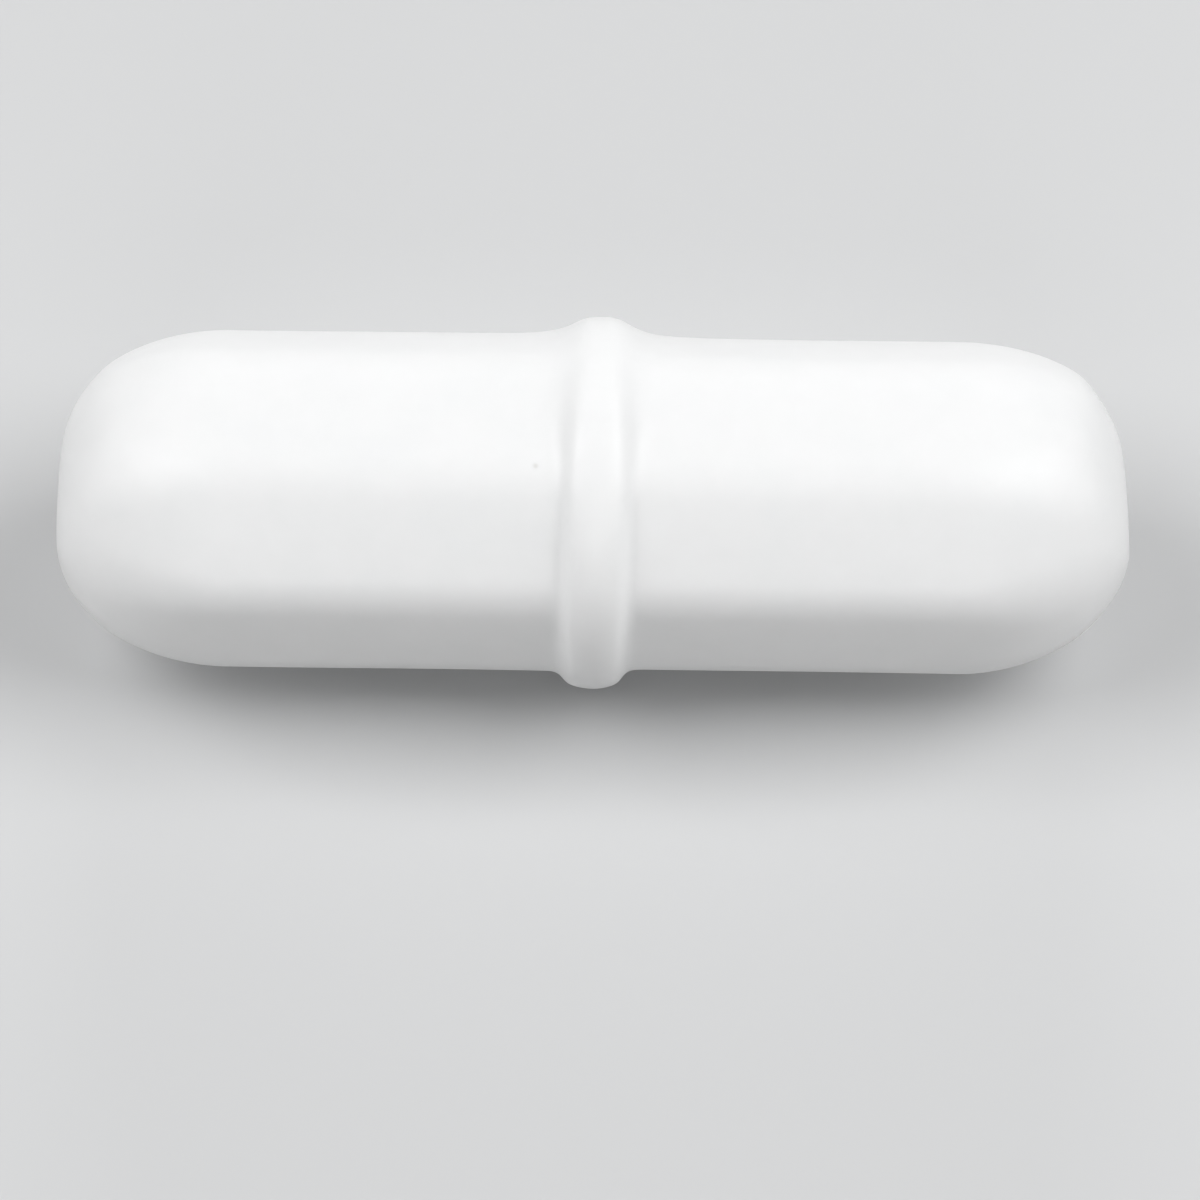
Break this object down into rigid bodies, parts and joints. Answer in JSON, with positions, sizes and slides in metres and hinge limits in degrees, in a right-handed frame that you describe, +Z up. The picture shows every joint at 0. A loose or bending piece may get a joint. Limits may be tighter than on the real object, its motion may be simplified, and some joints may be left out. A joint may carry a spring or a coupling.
{
  "type": "magnetic stir bar",
  "caption": "White octagonal stir bar with domed ends and a round pivot ring at mid-length, its magnet sealed in the PTFE; lies in a vessel and is spun by a stirrer's field.",
  "frame": {"origin": "at the ring's lowest point, on the surface that the bar stands on, straight below the bar's centre", "axes": "+X along the bar's axis, +Z up, square to one of the bar's flats"},
  "size_m": [0.0254, 0.0088, 0.0088],
  "materials": {
    "ptfe": "waxy satin",
    "magnet_alloy": "ground grey"
  },
  "bodies": {
    "root": {"ptfe_jacket": "ptfe", "bar_magnet": "magnet_alloy"}
  },
  "joints": []
}
